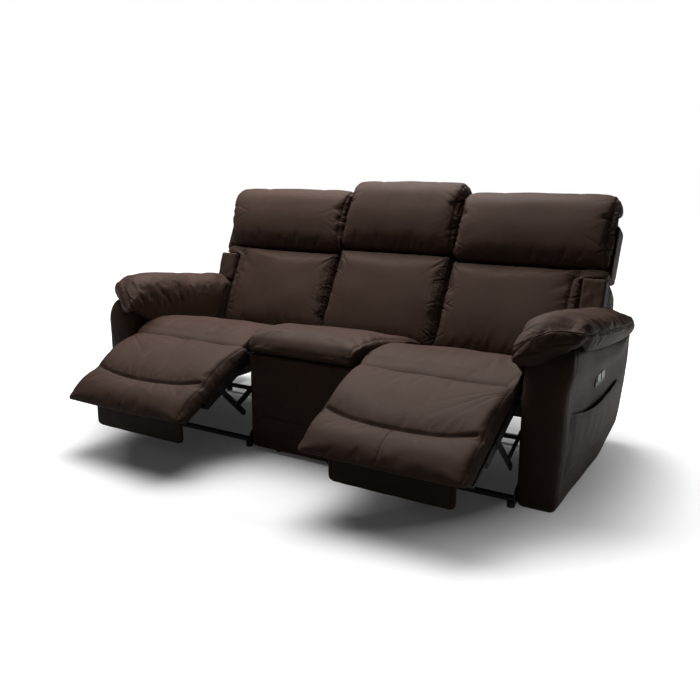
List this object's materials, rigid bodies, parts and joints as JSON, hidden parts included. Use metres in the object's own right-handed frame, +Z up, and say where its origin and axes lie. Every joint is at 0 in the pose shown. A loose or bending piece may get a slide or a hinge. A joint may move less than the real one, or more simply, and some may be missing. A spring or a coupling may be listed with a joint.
{
  "type": "reclining sofa",
  "caption": "Sofa with padded arms, pillow backs, a fixed middle seat and powered end seats whose footrests rise and backs recline.",
  "frame": {"origin": "on the floor under the centre of the overall box, with the footrests as pictured", "axes": "+X towards the arm on the right as seen from the front, +Y towards the back, +Z up"},
  "size_m": [2.096, 1.3964, 1.0519],
  "materials": {
    "leather": "satin",
    "flipper_leather": "satin",
    "plywood": "matte",
    "stained_board": "matte",
    "black_steel": "satin",
    "spring_steel": "satin",
    "rod_steel": "polished",
    "motor_plastic": "matte",
    "switch_metal": "satin",
    "button_plastic": "gloss",
    "glide_plastic": "matte"
  },
  "bodies": {
    "base": {"glides": "glide_plastic", "middle_base": "stained_board", "middle_front_panel": "leather", "seat_springs": "spring_steel", "seat_cushion_left": "leather", "seat_cushion_right": "leather", "seat_cushion_middle": "leather", "back_frame_middle": "plywood", "back_cover_middle": "leather", "lumbar_pad_middle": "leather", "head_pillow_middle": "leather", "arm_upholstery_left": "leather", "arm_frame_left": "plywood", "arm_pad_left": "leather", "side_pocket_left": "leather", "switch_plate_left": "switch_metal", "side_plates_left": "black_steel", "cross_tubes_left": "black_steel", "seat_frame_left": "plywood", "drive_motor_left": "motor_plastic", "arm_upholstery_right": "leather", "arm_frame_right": "plywood", "arm_pad_right": "leather", "side_pocket_right": "leather", "switch_plate_right": "switch_metal", "side_plates_right": "black_steel", "cross_tubes_right": "black_steel", "seat_frame_right": "plywood", "drive_motor_right": "motor_plastic"},
    "footrest_carrier_left": {"footrest_carrier_left": "black_steel", "chaise_pad_left": "leather"},
    "footrest_left": {"footrest_board_left": "stained_board", "toe_pad_left": "leather"},
    "flipper_left": {"flipper_left": "flipper_leather"},
    "lower_links_left": {"lower_links_left": "black_steel"},
    "upper_links_left": {"upper_links_left": "black_steel"},
    "drive_rod_left": {"drive_rod_left": "rod_steel"},
    "back_left": {"back_frame_left": "plywood", "back_brackets_left": "black_steel", "back_cover_left": "leather", "lumbar_pad_left": "leather", "head_pillow_left": "leather"},
    "open_button_left": {"open_button_left": "button_plastic"},
    "close_button_left": {"close_button_left": "button_plastic"},
    "footrest_carrier_right": {"footrest_carrier_right": "black_steel", "chaise_pad_right": "leather"},
    "footrest_right": {"footrest_board_right": "stained_board", "toe_pad_right": "leather"},
    "flipper_right": {"flipper_right": "flipper_leather"},
    "lower_links_right": {"lower_links_right": "black_steel"},
    "upper_links_right": {"upper_links_right": "black_steel"},
    "drive_rod_right": {"drive_rod_right": "rod_steel"},
    "back_right": {"back_frame_right": "plywood", "back_brackets_right": "black_steel", "back_cover_right": "leather", "lumbar_pad_right": "leather", "head_pillow_right": "leather"},
    "open_button_right": {"open_button_right": "button_plastic"},
    "close_button_right": {"close_button_right": "button_plastic"}
  },
  "joints": [
    {"name": "footrest_raise_left", "type": "hinge", "parent": "base", "child": "footrest_carrier_left", "pos_m": [-0.553, -0.274, 0.375], "axis": [-1, 0, 0], "range_deg": [-63.4, 22]},
    {"name": "footrest_extend_left", "type": "slide", "parent": "footrest_carrier_left", "child": "footrest_left", "axis": [0, -0.8942, -0.4478], "range_m": [-0.1255, 0.044], "deforming": ["chaise_pad_left"]},
    {"name": "flipper_swing_left", "type": "hinge", "parent": "footrest_left", "child": "flipper_left", "pos_m": [-0.553, -0.59901, 0.18652], "axis": [-1, 0, 0], "range_deg": [-117, 41]},
    {"name": "lower_link_swing_left", "type": "hinge", "parent": "base", "child": "lower_links_left", "pos_m": [-0.553, -0.184, 0.29], "axis": [-1, 0, 0], "range_deg": [-63.5, 22.1]},
    {"name": "upper_link_swing_left", "type": "hinge", "parent": "lower_links_left", "child": "upper_links_left", "pos_m": [-0.553, -0.37177, 0.19597], "axis": [-1, 0, 0], "range_deg": [-22.1, 63.5]},
    {"name": "drive_stroke_left", "type": "slide", "parent": "base", "child": "drive_rod_left", "axis": [0, -1, 0], "range_m": [-0.115, 0.0402]},
    {"name": "back_recline_left", "type": "hinge", "parent": "base", "child": "back_left", "pos_m": [-0.553, 0.291, 0.365], "axis": [-1, 0, 0], "range_deg": [0, 38]},
    {"name": "open_button_press_left", "type": "slide", "parent": "base", "child": "open_button_left", "axis": [1, 0, 0], "range_m": [0, 0.002], "stiffness_N_per_m": 400, "springref_m": -0.002},
    {"name": "close_button_press_left", "type": "slide", "parent": "base", "child": "close_button_left", "axis": [1, 0, 0], "range_m": [0, 0.002], "stiffness_N_per_m": 400, "springref_m": -0.002},
    {"name": "footrest_raise_right", "type": "hinge", "parent": "base", "child": "footrest_carrier_right", "pos_m": [0.553, -0.274, 0.375], "axis": [-1, 0, 0], "range_deg": [-63.4, 22]},
    {"name": "footrest_extend_right", "type": "slide", "parent": "footrest_carrier_right", "child": "footrest_right", "axis": [0, -0.8942, -0.4478], "range_m": [-0.1255, 0.044], "deforming": ["chaise_pad_right"]},
    {"name": "flipper_swing_right", "type": "hinge", "parent": "footrest_right", "child": "flipper_right", "pos_m": [0.553, -0.59901, 0.18652], "axis": [-1, 0, 0], "range_deg": [-117, 41]},
    {"name": "lower_link_swing_right", "type": "hinge", "parent": "base", "child": "lower_links_right", "pos_m": [0.553, -0.184, 0.29], "axis": [-1, 0, 0], "range_deg": [-63.5, 22.1]},
    {"name": "upper_link_swing_right", "type": "hinge", "parent": "lower_links_right", "child": "upper_links_right", "pos_m": [0.553, -0.37177, 0.19597], "axis": [-1, 0, 0], "range_deg": [-22.1, 63.5]},
    {"name": "drive_stroke_right", "type": "slide", "parent": "base", "child": "drive_rod_right", "axis": [0, -1, 0], "range_m": [-0.115, 0.0402]},
    {"name": "back_recline_right", "type": "hinge", "parent": "base", "child": "back_right", "pos_m": [0.553, 0.291, 0.365], "axis": [-1, 0, 0], "range_deg": [0, 38]},
    {"name": "open_button_press_right", "type": "slide", "parent": "base", "child": "open_button_right", "axis": [-1, 0, 0], "range_m": [0, 0.002], "stiffness_N_per_m": 400, "springref_m": -0.002},
    {"name": "close_button_press_right", "type": "slide", "parent": "base", "child": "close_button_right", "axis": [-1, 0, 0], "range_m": [0, 0.002], "stiffness_N_per_m": 400, "springref_m": -0.002}
  ],
  "couplings": [
    {"joint": "footrest_extend_left", "follows": "footrest_raise_left", "m_per_rad": 0.11296},
    {"joint": "flipper_swing_left", "follows": "footrest_raise_left", "ratio": 1.84},
    {"joint": "lower_link_swing_left", "follows": "footrest_raise_left", "ratio": 1},
    {"joint": "upper_link_swing_left", "follows": "footrest_raise_left", "ratio": -1},
    {"joint": "drive_stroke_left", "follows": "footrest_raise_left", "m_per_rad": 0.1035},
    {"joint": "footrest_extend_right", "follows": "footrest_raise_right", "m_per_rad": 0.11296},
    {"joint": "flipper_swing_right", "follows": "footrest_raise_right", "ratio": 1.84},
    {"joint": "lower_link_swing_right", "follows": "footrest_raise_right", "ratio": 1},
    {"joint": "upper_link_swing_right", "follows": "footrest_raise_right", "ratio": -1},
    {"joint": "drive_stroke_right", "follows": "footrest_raise_right", "m_per_rad": 0.1035}
  ]
}
